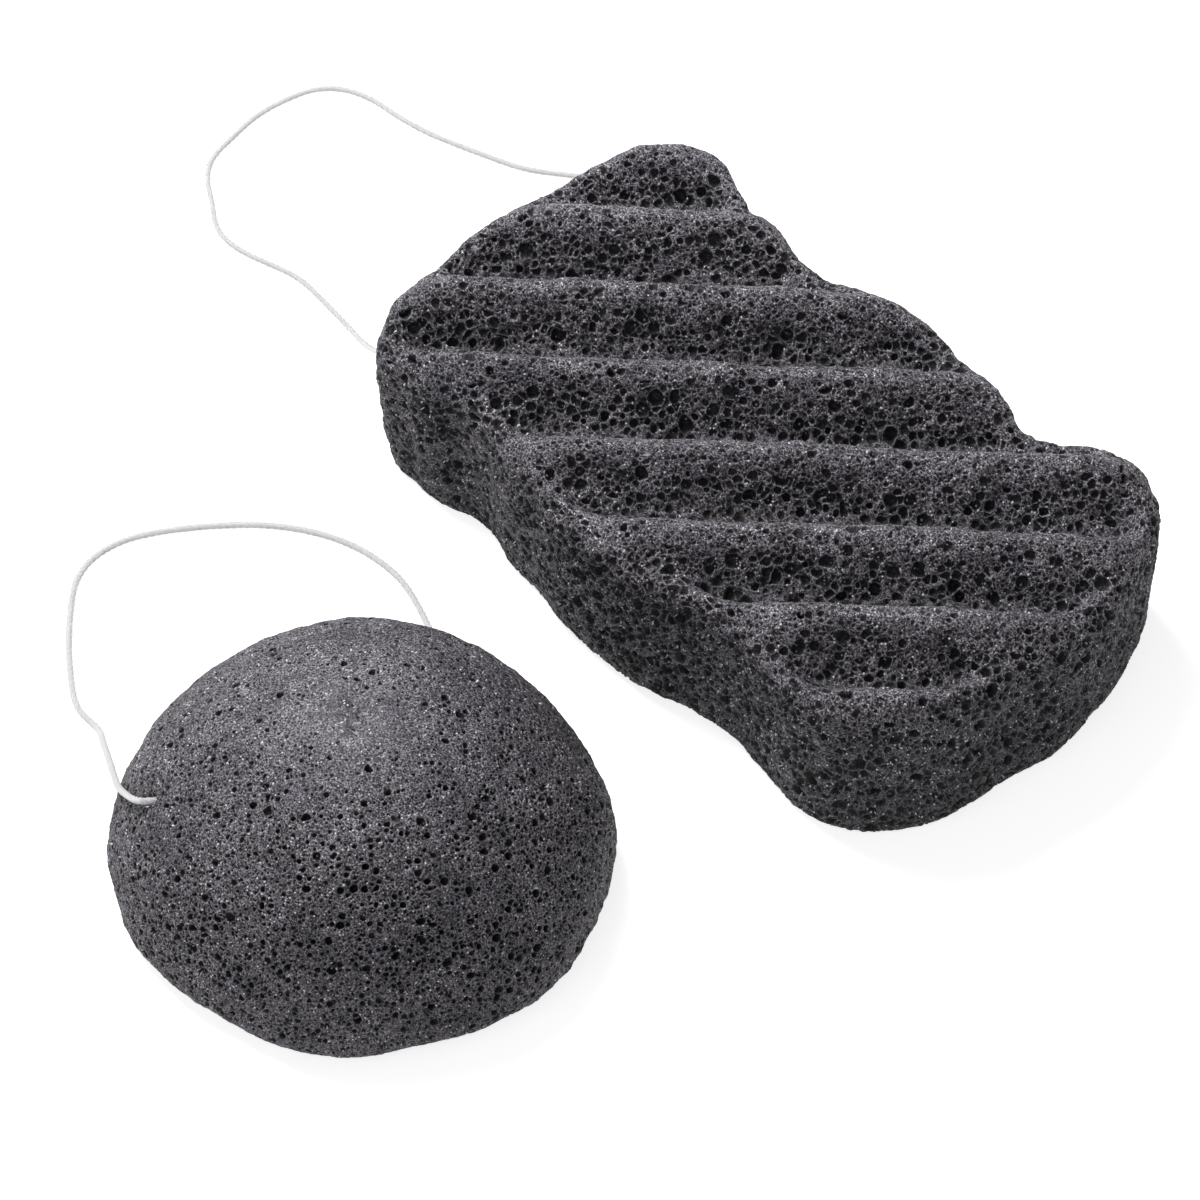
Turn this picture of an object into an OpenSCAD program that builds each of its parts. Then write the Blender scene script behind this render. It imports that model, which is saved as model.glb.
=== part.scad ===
/* [Face sponge] */
// Diameter of the half ball
face_d = 80; // [60:1:100]
// Height of the half ball
face_h = 39; // [30:0.5:48]
// Radius of the rounded rim between the dome and its flat base
face_rim_r = 5; // [2:0.5:5.5]
// Turn of the open cord mouth round the dome, in degrees
face_mouth_turn = 188; // [150:1:210]
// Height of the open cord mouth above the base
face_mouth_h = 23.6; // [15:0.2:26]
// Turn of the cord's hidden exit round the dome, in degrees
face_exit_turn = 78; // [60:1:110]
// Height of the hidden exit above the base
face_exit_h = 6; // [6:0.5:14]
// Half of the angle that the cord bends through inside the dome
face_bend_turn = 30; // [10:1:50]

/* [Body sponge] */
// Length of the long sponge
body_l = 130; // [100:1:160]
// Width of the long sponge
body_w = 77; // [60:1:95]
// Height of the long sponge over its ridge crests
body_h = 33.5; // [28:0.5:42]
// Radius of the soft edge between the side wall and the ridged face
body_edge_r = 9; // [5:0.5:11]
// How far the base is drawn in from the side wall
body_base_in = 2.5; // [1:0.25:4]
// Height at which the side wall has bowed out to its full size
body_bow_h = 19; // [12:0.5:21]
// Height of both cord mouths above the base
body_mouth_h = 12; // [8:0.5:15]
// Half of the angle that the cord bends through behind the end wall
body_bend_turn = 75; // [50:1:80]

/* [Ridges] */
// Distance from one groove to the next
ridge_pitch = 17.2; // [14:0.2:22]
// Depth of the grooves below the crests
ridge_depth = 7.5; // [3:0.5:9]
// Turn of the grooves from the long axis, in degrees
ridge_turn = 42; // [35:1:50]
// How far the middle groove lies from the middle of the sponge
ridge_shift = 0.8; // [0:0.2:3]
// Width of the band inside the outline where the grooves fade out
ridge_fade = 8; // [4:0.5:12]

/* [Cords] */
// Diameter of the twisted cotton cord
cord_d = 1; // [0.8:0.1:1.4]
// Clearance between the cord and the wall of its channel
cord_gap = 0.3; // [0.2:0.05:0.6]
// How far the held stretch of a cord stands out of its channel
cord_out = 1.2; // [1:0.1:1.6]
// Diameter of the knot that closes a loop
knot_d = 3; // [2.4:0.2:3.6]
// Length of the knot along the cord
knot_l = 3.5; // [3:0.5:5]

/* [Pair] */
// Gap between the half ball and the long side of the other sponge
pair_gap = 16.2; // [10:0.2:60]
// How far the half ball stands along the long side from its middle
pair_along = 3.5; // [-20:0.5:20]
// Turn of the long sponge on the table, in degrees
pair_turn = 45; // [0:1:90]

/* [Hidden] */

foam_color = [0.28, 0.27, 0.29];
cord_color = [0.93, 0.93, 0.95];

// How far a cut runs past the surface that it opens
overrun = 2;
// Sides and steps of the curved surfaces
face_sides = 64;
face_steps = 14;
rim_steps = 3;
outline_steps = 3;
bar_sides = 24;
bend_sides = 96;
cord_sides = 8;
knot_steps = 8;

// The long sponge's outline, counted round from the middle of its right end, as shares
// of its half length and half width: a rounded oblong with three soft lobes a side
outline_shares = [
    [1.00, 0.02], [0.99, 0.33], [0.97, 0.59], [0.90, 0.85], [0.78, 0.98], [0.64, 0.97],
    [0.47, 0.81], [0.29, 0.89], [0.09, 0.94], [-0.11, 0.89], [-0.27, 0.81], [-0.45, 0.90],
    [-0.65, 1.00], [-0.82, 0.99], [-0.94, 0.77], [-0.97, 0.46], [-0.98, 0.12], [-1.00, -0.19],
    [-0.99, -0.50], [-0.91, -0.79], [-0.76, -0.85], [-0.56, -0.81], [-0.39, -0.89], [-0.17, -0.97],
    [0.06, -0.99], [0.23, -0.95], [0.40, -0.92], [0.53, -0.97], [0.67, -1.00], [0.81, -0.94],
    [0.92, -0.73], [0.97, -0.37]
];
// The outline points at which the cord enters and leaves the end wall
mouth_place = 18;
exit_place = 14;
// Stations of the ridged skin along the way across the grooves, and those packed into
// the first and the last step, where the outline turns most
stations = 56;
end_shares = [0.03, 0.2, 0.5];
// Places of the skin's points along a groove, as shares of the way from wall to wall
top_shares = [0, 0.015, 0.05, 0.1, 0.18, 0.32, 0.5, 0.68, 0.82, 0.9, 0.95, 0.985, 1];
// Levels of the side wall, as shares of the height at which it has bowed out
bow_shares = [0, 0.12, 0.4];

// Route of the half ball's free cord from its open mouth to its knot: places from the
// dome's axis, and the height of the cord's underside above the table
face_route = [
    [-35.5, -4.2, 22.5], [-36.5, -2.2, 21], [-37.5, 0.3, 19], [-38.4, 2.6, 17.3], [-39.2, 6.5, 14.4],
    [-40.4, 13, 10.7], [-41.8, 20.5, 6.3], [-42.8, 26.5, 2.3], [-43.4, 30.3, 0], [-45.4, 32, 0],
    [-47.1, 34.2, 0], [-47.8, 36.8, 0], [-48.5, 42, 0], [-49, 47.6, 0], [-49, 55.2, 0],
    [-48.5, 61.5, 0], [-47, 65.3, 0], [-44, 68.8, 0], [-40, 71.3, 0], [-35.4, 72.7, 0],
    [-30, 73.7, 0], [-24.8, 74.2, 0], [-19.4, 74.4, 0], [-14.5, 73.9, 0], [-8.8, 72.5, 0],
    [-3, 69.8, 0], [2, 65.8, 0], [5.5, 61.6, 0], [7.7, 57, 0], [9.5, 52.5, 0.1],
    [10.4, 48.6, 1.5], [10.1, 46, 4]
];
// Route of the long sponge's free cord from its mouth to its knot, in that sponge's own
// axes: along it, across it, and the height of the cord's underside above the table
body_route = [
    [-68.4, -19.8, 10], [-71.5, -19, 7.5], [-75, -17, 4], [-79.4, -15, 0.8], [-84, -13.7, 0],
    [-87.5, -13.2, 0], [-98.3, -11.8, 0], [-103, -12.8, 0], [-110.7, -14.5, 0], [-116.4, -13.7, 0],
    [-121.2, -10.1, 0], [-126.2, -6.7, 0], [-129, -3, 0], [-130, 2.4, 0], [-131, 9.4, 0],
    [-130.1, 16.4, 0], [-128.4, 21.5, 0], [-124.8, 24.8, 0], [-120, 26.4, 0], [-114.8, 26.6, 0],
    [-108, 27.4, 0], [-102, 29, 0], [-95.6, 31, 0], [-89.8, 33, 0], [-84.8, 36.2, 0],
    [-82.5, 38, 0], [-80.4, 39.4, 0], [-78, 39.7, 0.1], [-75.2, 38.2, 0.9], [-73, 35.6, 3],
    [-70.7, 33.2, 6.5], [-68.3, 31.7, 10]
];

face_r = face_d / 2;
face_rise = face_h - face_rim_r;
body_half_l = body_l / 2;
body_half_w = body_w / 2;
cord_r = cord_d / 2;
knot_r = knot_d / 2;
// Radius of the knot's flat ends, a little over the cord's own
knot_end_share = 1.2;

// A point of the closed curve through four neighbouring points, t of the way from p1 to p2
function curve_point(p0, p1, p2, p3, t) =
    (2 * p1 + (p2 - p0) * t + (2 * p0 - 5 * p1 + 4 * p2 - p3) * t * t
        + (3 * p1 - p0 - 3 * p2 + p3) * t * t * t) / 2;

corners = [for (s = outline_shares) [s[0] * body_half_l, s[1] * body_half_w]];
corner_count = len(corners);
body_outline = [
    for (i = [0 : corner_count - 1], k = [0 : outline_steps - 1])
        curve_point(
            corners[(i + corner_count - 1) % corner_count],
            corners[i],
            corners[(i + 1) % corner_count],
            corners[(i + 2) % corner_count],
            k / outline_steps
        )
];
outline_count = len(body_outline);

// The pair's places on the table: the origin is the middle of the pair's own box
function turned(p) = [
    p[0] * cos(pair_turn) + p[1] * sin(pair_turn),
    p[1] * cos(pair_turn) - p[0] * sin(pair_turn)
];
turned_outline = [for (p = body_outline) turned(p)];
face_from_body = turned([pair_along, -(body_half_w + pair_gap + face_r)]);
pair_low = [
    for (k = [0, 1]) min(min([for (p = turned_outline) p[k]]), face_from_body[k] - face_r)
];
pair_high = [
    for (k = [0, 1]) max(max([for (p = turned_outline) p[k]]), face_from_body[k] + face_r)
];
body_at = -(pair_low + pair_high) / 2;
face_at = body_at + face_from_body;

// The bend of a held cord from point a to point b, through half the angle h each way:
// it runs to the right of the straight line between them
function bend_r(a, b, h) = norm(b - a) / 2 / sin(h);
function bend_ahead(a, b) = (b - a) / norm(b - a);
function bend_left(a, b) = [a[1] - b[1], b[0] - a[0], 0] / norm([a[1] - b[1], b[0] - a[0]]);
// The place and the heading on that bend at an angle t from its middle
function bend_point(a, b, h, t) =
    (a + b) / 2
    + bend_ahead(a, b) * bend_r(a, b, h) * sin(t)
    + bend_left(a, b) * bend_r(a, b, h) * (cos(h) - cos(t));
function bend_heading(a, b, t) = bend_ahead(a, b) * cos(t) + bend_left(a, b) * sin(t);
// Half the angle of the bend with a length more at each end
function bend_reach(a, b, h, more) = h + more / bend_r(a, b, h) * 180 / PI;

// Radius of the half ball at height z
function dome_r(z) = face_r * sqrt(1 - pow(max(z - face_rim_r, 0) / face_rise, 2));
function on_dome(turn, z) = [dome_r(z) * cos(turn), dome_r(z) * sin(turn), z];
face_mouth = on_dome(face_mouth_turn, face_mouth_h);
face_exit = on_dome(face_exit_turn, face_exit_h);
body_mouth = [corners[mouth_place][0], corners[mouth_place][1], body_mouth_h];
body_exit = [corners[exit_place][0], corners[exit_place][1], body_mouth_h];

// The long sponge's own direction along the grooves, and the one across them
groove_way = [cos(ridge_turn), sin(ridge_turn)];
across_way = [-sin(ridge_turn), cos(ridge_turn)];

// How far point p lies inside the line from a to b, measured as plain distance
function line_distance(p, a, b) =
    let (
        run = b - a,
        t = max(0, min(1, (p - a) * run / (run * run)))
    )
    norm(p - a - run * t);

function inset(p) = min([
    for (i = [0 : outline_count - 1])
        line_distance(p, body_outline[i], body_outline[(i + 1) % outline_count])
]);

function eased(t) = t * t * (3 - 2 * t);

// Height of the ridged face over point p: soft edge first, then the grooves
function ridged_height(p) =
    let (
        d = inset(p),
        lean = max(body_edge_r - d, 0),
        groove = (1 + cos(360 * (p * across_way - ridge_shift) / ridge_pitch)) / 2
    )
    body_h - body_edge_r + sqrt(body_edge_r * body_edge_r - lean * lean)
        - eased(min(d / ridge_fade, 1)) * ridge_depth * groove;

// A point of the side wall below outline point p, at a share of the bow's height
function wall_point(p, share) =
    let (drawn = body_base_in * (1 - sqrt(1 - pow(1 - share, 2))))
    [
        p[0] * (1 - drawn / body_half_l),
        p[1] * (1 - drawn / body_half_w),
        body_bow_h * share
    ];

// Triangles of a closed skin over rings of n points each, counted leftwards as seen
// along the way from the first ring to the last
function skin_faces(rings, n) = concat(
    [for (k = [1 : n - 2]) [0, k + 1, k]],
    [for (k = [1 : n - 2]) [(rings - 1) * n, (rings - 1) * n + k, (rings - 1) * n + k + 1]],
    [
        for (j = [0 : rings - 2], k = [0 : n - 1], half = [0, 1])
            let (
                a = j * n + k,
                b = j * n + (k + 1) % n
            )
            half == 0 ? [a, b, b + n] : [a, b + n, a + n]
    ]
);

// The long sponge's skin: each ring stands upright along a groove
function body_rings() =
    let (
        places = [for (p = body_outline) p * across_way],
        first = search(min(places), places)[0],
        last = search(max(places), places)[0],
        right_count = (last - first + outline_count) % outline_count,
        low = places[first],
        high = places[last],
        step = (high - low) / stations,
        right = [
            for (i = [0 : right_count])
                let (p = body_outline[(first + i) % outline_count])
                [p * across_way, p * groove_way]
        ],
        left = [
            for (i = [right_count : outline_count])
                let (p = body_outline[(first + i) % outline_count])
                [p * across_way, p * groove_way]
        ],
        ways = concat(
            [for (s = end_shares) low + s * step],
            [for (i = [1 : stations - 1]) low + i * step],
            [for (k = [len(end_shares) - 1 : -1 : 0]) high - end_shares[k] * step]
        )
    )
    [
        for (w = ways)
            let (
                r = lookup(w, right) * groove_way + w * across_way,
                l = lookup(w, left) * groove_way + w * across_way
            )
            concat(
                [for (s = bow_shares) wall_point(r, s)],
                [for (s = top_shares) let (p = r + (l - r) * s) [p[0], p[1], ridged_height(p)]],
                [for (k = [len(bow_shares) - 1 : -1 : 0]) wall_point(l, bow_shares[k])]
            )
    ];

// A ring of points of radius r round point p, square to a heading
function cord_ring(p, heading, r) =
    let (
        side = cross(heading, [0, 0, 1]) / norm(cross(heading, [0, 0, 1])),
        up = cross(side, heading / norm(heading))
    )
    [
        for (k = [0 : cord_sides - 1])
            let (turn = (k + 0.5) * 360 / cord_sides)
            p + r * (side * cos(turn) + up * sin(turn))
    ];

// The free cord from one end to the other along its route: it leaves the first end along
// out_heading and arrives at the last one along in_heading
module free_cord(start, out_heading, route, end, in_heading) {
    points = concat([start], [for (p = route) p + [0, 0, cord_r]], [end]);
    last = len(points) - 1;
    rings = [
        for (i = [0 : last])
            let (
                heading = i == 0 ? out_heading
                    : i == last ? in_heading
                    : points[i + 1] - points[i - 1]
            )
            cord_ring(points[i], heading, cord_r)
    ];
    polyhedron([for (ring = rings, p = ring) p], skin_faces(last + 1, cord_sides));
}

// A round bar bent from point a to point b, with a length more at each end
module bent_bar(a, b, h, more, bar_r) {
    reach = bend_reach(a, b, h, more);
    translate((a + b) / 2)
        rotate([0, -asin(bend_ahead(a, b)[2]), atan2(b[1] - a[1], b[0] - a[0])])
            translate([0, bend_r(a, b, h) * cos(h), 0])
                rotate([0, 0, -90 - reach])
                    rotate_extrude(angle = 2 * reach, $fn = bend_sides)
                        translate([bend_r(a, b, h), 0])
                            circle(r = bar_r, $fn = bar_sides);
}

// The knot as a round bead that starts at point p and runs along a heading
module knot(p, heading) {
    end_r = cord_r * knot_end_share;
    translate(p)
        rotate([0, acos(heading[2] / norm(heading)), atan2(heading[1], heading[0])])
            rotate_extrude($fn = bar_sides)
                polygon(concat(
                    [[0, 0]],
                    [
                        for (i = [0 : knot_steps])
                            let (turn = 180 * i / knot_steps)
                            [end_r + (knot_r - end_r) * sin(turn), knot_l * (1 - cos(turn)) / 2]
                    ],
                    [[0, knot_l]]
                ));
}

module on_face_place() {
    translate([face_at[0], face_at[1], 0]) children();
}

module on_body_place() {
    translate([body_at[0], body_at[1], 0]) rotate([0, 0, -pair_turn]) children();
}

module dome() {
    rotate_extrude($fn = face_sides)
        polygon(concat(
            [[0, 0]],
            [
                for (i = [0 : rim_steps - 1])
                    let (turn = 90 * i / rim_steps)
                    [face_r - face_rim_r * (1 - sin(turn)), face_rim_r * (1 - cos(turn))]
            ],
            [
                for (i = [0 : face_steps])
                    let (turn = 90 * i / face_steps)
                    [i == face_steps ? 0 : face_r * cos(turn), face_rim_r + face_rise * sin(turn)]
            ]
        ));
}

module face_sponge() {
    color(foam_color)
        on_face_place()
            difference() {
                dome();
                bent_bar(face_mouth, face_exit, face_bend_turn, cord_out + overrun, cord_r + cord_gap);
            }
}

module face_cord_threaded() {
    color(cord_color)
        on_face_place() bent_bar(face_mouth, face_exit, face_bend_turn, cord_out, cord_r);
}

module face_cord_loop() {
    reach = bend_reach(face_mouth, face_exit, face_bend_turn, cord_out);
    out_heading = -bend_heading(face_mouth, face_exit, -reach);
    knot_heading = bend_heading(face_mouth, face_exit, reach);
    color(cord_color)
        on_face_place()
            free_cord(
                bend_point(face_mouth, face_exit, face_bend_turn, -reach), out_heading,
                face_route,
                bend_point(face_mouth, face_exit, face_bend_turn, reach) + knot_heading * knot_l,
                -knot_heading
            );
}

module face_cord_knot() {
    reach = bend_reach(face_mouth, face_exit, face_bend_turn, cord_out);
    color(cord_color)
        on_face_place()
            knot(
                bend_point(face_mouth, face_exit, face_bend_turn, reach),
                bend_heading(face_mouth, face_exit, reach)
            );
}

module body_sponge() {
    rings = body_rings();
    color(foam_color)
        on_body_place()
            difference() {
                polyhedron(
                    [for (ring = rings, p = ring) p],
                    skin_faces(len(rings), len(rings[0]))
                );
                bent_bar(body_mouth, body_exit, body_bend_turn, cord_out + overrun, cord_r + cord_gap);
            }
}

module body_cord_threaded() {
    color(cord_color)
        on_body_place() bent_bar(body_mouth, body_exit, body_bend_turn, cord_out, cord_r);
}

module body_cord_loop() {
    reach = bend_reach(body_mouth, body_exit, body_bend_turn, cord_out);
    out_heading = -bend_heading(body_mouth, body_exit, -reach);
    knot_heading = bend_heading(body_mouth, body_exit, reach);
    color(cord_color)
        on_body_place()
            free_cord(
                bend_point(body_mouth, body_exit, body_bend_turn, -reach), out_heading,
                body_route,
                bend_point(body_mouth, body_exit, body_bend_turn, reach) + knot_heading * knot_l,
                -knot_heading
            );
}

module body_cord_knot() {
    reach = bend_reach(body_mouth, body_exit, body_bend_turn, cord_out);
    color(cord_color)
        on_body_place()
            knot(
                bend_point(body_mouth, body_exit, body_bend_turn, reach),
                bend_heading(body_mouth, body_exit, reach)
            );
}

face_sponge();
face_cord_threaded();
face_cord_loop();
face_cord_knot();
body_sponge();
body_cord_threaded();
body_cord_loop();
body_cord_knot();
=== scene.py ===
import math
from collections import namedtuple

import bpy
import numpy as np
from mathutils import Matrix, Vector


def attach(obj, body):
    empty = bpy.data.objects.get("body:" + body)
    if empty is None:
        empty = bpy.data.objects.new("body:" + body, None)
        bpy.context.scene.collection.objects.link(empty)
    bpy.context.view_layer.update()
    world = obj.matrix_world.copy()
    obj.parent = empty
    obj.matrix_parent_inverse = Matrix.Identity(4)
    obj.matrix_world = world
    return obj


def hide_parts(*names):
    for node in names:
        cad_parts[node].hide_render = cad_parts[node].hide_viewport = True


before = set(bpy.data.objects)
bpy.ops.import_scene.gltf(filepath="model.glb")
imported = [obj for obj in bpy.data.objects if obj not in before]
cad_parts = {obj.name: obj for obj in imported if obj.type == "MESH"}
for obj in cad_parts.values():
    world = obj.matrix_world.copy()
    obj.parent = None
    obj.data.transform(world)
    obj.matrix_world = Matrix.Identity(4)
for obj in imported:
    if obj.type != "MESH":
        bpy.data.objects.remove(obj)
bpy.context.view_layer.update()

MM = 0.001

# The camera looks down at the pair from the front. Its places are in millimetres
TARGET = (-6.8, 10.92, 0.0)
ELEVATION = math.radians(48.6)
DISTANCE = 1500.0
LENS = 274.5
SENSOR = 36.0
CLIP_M = (0.05, 20.0)

eye = bpy.data.cameras.new("eye")
camera = bpy.data.objects.new("eye", eye)
bpy.context.collection.objects.link(camera)
eye.lens = LENS
eye.sensor_width = SENSOR
eye.clip_start, eye.clip_end = CLIP_M
camera.location = (
    TARGET[0] * MM,
    (TARGET[1] - DISTANCE * math.cos(ELEVATION)) * MM,
    (TARGET[2] + DISTANCE * math.sin(ELEVATION)) * MM,
)
camera.rotation_euler = (math.pi / 2 - ELEVATION, 0.0, 0.0)
bpy.context.scene.camera = camera

# Sizes and places, in millimetres. Each sponge has its own axes, with its middle at the
# origin and its base on the table, and stands at its place. The long one is turned there
FACE_AT = np.array([-44.497, -47.3789, 0.0])
BODY_AT = np.array([19.9912, 22.059, 0.0])
BODY_TURN = math.radians(-45.0)

# The half ball: radius, height, and radius of the rim round its base
FACE_R = 40.0
FACE_H = 39.0
FACE_RIM = 5.0

# The long sponge: half length, half width and height, the radius of its soft top edge, how
# far its base is drawn in, and the height up to which its wall bows out
BODY_HALF_L = 65.0
BODY_HALF_W = 38.5
BODY_H = 33.5
BODY_EDGE = 9.0
BODY_BASE_IN = 2.5
BODY_BOW_H = 19.0
# Its grooves: how far apart, how deep, how they are turned and shifted, and how far from
# the edge they fade out
RIDGE_PITCH = 17.2
RIDGE_DEPTH = 7.5
RIDGE_TURN = math.radians(42.0)
RIDGE_SHIFT = 0.8
RIDGE_FADE = 8.0

# The bends of the held cords. On the half ball a mouth is a turn in degrees and a height
FACE_MOUTH = (188, 23.6)
FACE_EXIT = (78, 6.0)
FACE_BEND = math.radians(30)
# On the long sponge a mouth is a corner of the outline
BODY_MOUTH = 18
BODY_EXIT = 14
BODY_MOUTH_H = 12.0
BODY_BEND = math.radians(75)

# The cords: diameter, reach out of a mouth, length of a knot, and how full each cord is
CORD_D = 1.0
CORD_OUT = 1.2
KNOT_L = 3.5
FACE_CORD_FULL = 1.16
BODY_CORD_FULL = 1.0
TAIL_FULL = 0.9
# How a cord is laid: strands, length of a turn, the same in a knot, and each strand's place
# and radius as shares of the cord's thickness
STRANDS = 3
LAY = 3.4
KNOT_LAY = 2.6
STRAND_FAR = 0.17
STRAND_R = 0.31
# Points round a cord, and points along its held stretch, a knot and the cord in the knot
CORD_SIDES = 21
HELD_STEPS = 300
KNOT_STEPS = 160
CORE_STEPS = 20
# How far a cord goes straight on out of the foam, and the least height of its middle over
# the table as a share of its thickness
STRAIGHT = 0.6
LEAST_H = 0.51
# Points of a curve between two places of a route, steps of a cord's line and of its path,
# and how many points of the line an eased corner takes
CURVE_STEPS = 24
LINE_STEP = 0.22
PATH_STEP = 4.0
CORNER_EASE = 9
# An overhand knot's size across and along, and the points of its tails from its middle: to
# the side, up, and along the cord
KNOT_ACROSS = 0.36
KNOT_ALONG = 1.6
TAIL = [[0.6, 0.4, 0.0], [1.8, 1.2, 0.4], [2.9, 1.4, 1.5], [3.6, 1.0, 3.0]]

# The long sponge's outline as shares of its half length and half width
OUTLINE = [
    [1.00, 0.02], [0.99, 0.33], [0.97, 0.59], [0.90, 0.85], [0.78, 0.98], [0.64, 0.97],
    [0.47, 0.81], [0.29, 0.89], [0.09, 0.94], [-0.11, 0.89], [-0.27, 0.81], [-0.45, 0.90],
    [-0.65, 1.00], [-0.82, 0.99], [-0.94, 0.77], [-0.97, 0.46], [-0.98, 0.12], [-1.00, -0.19],
    [-0.99, -0.50], [-0.91, -0.79], [-0.76, -0.85], [-0.56, -0.81], [-0.39, -0.89],
    [-0.17, -0.97], [0.06, -0.99], [0.23, -0.95], [0.40, -0.92], [0.53, -0.97], [0.67, -1.00],
    [0.81, -0.94], [0.92, -0.73], [0.97, -0.37],
]

# Routes of the free cords, with the height of the cord's underside above the table
FACE_ROUTE = [
    [-35.5, -4.2, 22.5], [-36.5, -2.2, 21], [-37.5, 0.3, 19], [-38.4, 2.6, 17.3],
    [-39.2, 6.5, 14.4], [-40.4, 13, 10.7], [-41.8, 20.5, 6.3], [-42.8, 26.5, 2.3],
    [-43.4, 30.3, 0], [-45.4, 32, 0], [-47.1, 34.2, 0], [-47.8, 36.8, 0], [-48.5, 42, 0],
    [-49, 47.6, 0], [-49, 55.2, 0], [-48.5, 61.5, 0], [-47, 65.3, 0], [-44, 68.8, 0],
    [-40, 71.3, 0], [-35.4, 72.7, 0], [-30, 73.7, 0], [-24.8, 74.2, 0], [-19.4, 74.4, 0],
    [-14.5, 73.9, 0], [-8.8, 72.5, 0], [-3, 69.8, 0], [2, 65.8, 0], [5.5, 61.6, 0],
    [7.7, 57, 0], [9.5, 52.5, 0.1], [10.4, 48.6, 1.5], [10.1, 46, 4],
]
BODY_ROUTE = [
    [-68.4, -19.8, 10], [-71.5, -19, 7.5], [-75, -17, 4], [-79.4, -15, 0.8], [-84, -13.7, 0],
    [-87.5, -13.2, 0], [-98.3, -11.8, 0], [-103, -12.8, 0], [-110.7, -14.5, 0],
    [-116.4, -13.7, 0], [-121.2, -10.1, 0], [-126.2, -6.7, 0], [-129, -3, 0], [-130, 2.4, 0],
    [-131, 9.4, 0], [-130.1, 16.4, 0], [-128.4, 21.5, 0], [-124.8, 24.8, 0], [-120, 26.4, 0],
    [-114.8, 26.6, 0], [-108, 27.4, 0], [-102, 29, 0], [-95.6, 31, 0], [-89.8, 33, 0],
    [-84.8, 36.2, 0], [-82.5, 38, 0], [-80.4, 39.4, 0], [-78, 39.7, 0.1], [-75.2, 38.2, 0.9],
    [-73, 35.6, 3], [-70.7, 33.2, 6.5], [-68.3, 31.7, 10],
]

# Where the real outlines bulge or draw in: plan place, width, and how far, outward as a plus
BODY_DENTS = [
    [-65, 3, 9, 2.2], [-65, -13.5, 5, -0.7], [-15, 33, 6, 1.6], [-5, 38, 6, 1.9],
    [10, 36.5, 4, -0.7], [21, 33, 5, 0.7], [-59, 36, 8, 0.9], [-66, -24, 8, 0.9],
    [66, 1, 9, 1.4], [65, 12, 6, 0.7], [63, -20, 8, 1.5], [-38.5, 36, 4, -2.2],
    [58, 32, 9, -1.1], [47, 40, 5, 0.8], [35.5, -36, 5, -0.9], [-21, -36, 6, -0.3],
    [-54, -31, 6, -0.5], [-41, -31, 5, -0.4], [18, -35, 6, -0.5],
]
# The same for the half ball: turn in degrees, height, width, and how far
FACE_DENTS = [
    [-131, 3, 12, -1.3], [-150, 2, 6, 0.9], [-75, 2, 8, -1.1], [-98, 2, 7, 0.7],
    [-53, 2, 6, -0.6], [-28, 4, 8, -0.8], [180, 12, 9, 0.9], [-173, 12, 5, -0.4],
    [6, 11, 9, 0.8], [45, 22, 14, -0.5], [-40, 6, 9, 0.5],
]

# Where the foam is paler or darker: place, width, and how much
FACE_TONES = [[31, 18, 21, 11, -0.28], [-36, 3, 14, 15, -0.08], [5, -34, 16, 16, -0.08]]
# On the long sponge the three paler patches, high on its far side, are painted light shining
# through the thin foam there
BODY_TONES = [
    [-58, 22, 30, 14, 0.2], [-40, 30, 30, 12, 0.15], [60, 20, 28, 12, 0.12],
    [60, -28, 10, 18, -0.16],
]

# Layers of soft noise: height, size of the humps, and seed. First the outlines, then the
# swells of the skin, then its roughness
FACE_OUTLINE_NOISE = [[0.5, 17.0, 31], [0.3, 7.0, 32]]
BODY_OUTLINE_NOISE = [[0.35, 9.0, 41], [0.25, 4.0, 42]]
FACE_SWELL = [[0.3, 9.0, 33], [0.2, 3.2, 34], [0.13, 1.5, 36]]
BODY_SWELL = [[0.4, 11.0, 43], [0.28, 3.6, 44], [0.2, 1.7, 46]]
FACE_ROUGH = [[0.08, 0.6, 5], [0.05, 0.33, 6]]
BODY_ROUGH = [[0.08, 0.7, 7], [0.06, 0.4, 8]]
# Patches with more or fewer open cells: size of the patches, and seed
FACE_PATCHES = [8.0, 3]
BODY_PATCHES = [9.0, 9]

# Steps of the smooth forms, the heights and insets of the long sponge's rings as shares, and
# the voxels of the fine skins
DOME_STEPS = 70
RIM_STEPS = 12
BASE_STEPS = 20
FACE_SIDES = 220
OUTLINE_STEPS = 8
BOW_SHARES = (0.0, 0.04, 0.12, 0.22, 0.4, 0.65, 1.0)
EDGE_SHARES = [0, 0.0004, 0.0015, 0.004, 0.008, 0.013, 0.02, 0.03, 0.045, 0.065, 0.09]
TOP_SHARES = np.linspace(0.12, 0.97, 90)
FACE_VOXEL = 0.26
BODY_VOXEL = 0.32

# One size of foam cell. size is the cells' spacing, low and high the least and greatest
# mouth radius, share how many are open, wall half the thickness left between two mouths,
# and deep the cell's depth
Cells = namedtuple("Cells", "name size low high share wall deep")
FACE_CELLS = [
    Cells("a", 2.0, 0.28, 0.86, 0.75, 0.12, 1.6),
    Cells("b", 1.2, 0.24, 0.62, 1.0, 0.09, 1.0),
    Cells("c", 0.8, 0.18, 0.40, 0.88, 0.07, 0.55),
    Cells("d", 0.5, 0.10, 0.25, 0.70, 0.0, 0.2),
]
BODY_CELLS = [
    Cells("a", 2.8, 0.60, 1.50, 0.55, 0.09, 1.9),
    Cells("b", 1.7, 0.50, 1.15, 0.90, 0.08, 1.2),
    Cells("c", 1.0, 0.28, 0.66, 0.90, 0.07, 0.7),
    Cells("d", 0.6, 0.14, 0.36, 0.85, 0.0, 0.3),
]
# How far the cells are pushed about, so that none is a plain polygon
FACE_SWAY = 0.45
BODY_SWAY = 0.7
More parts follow.
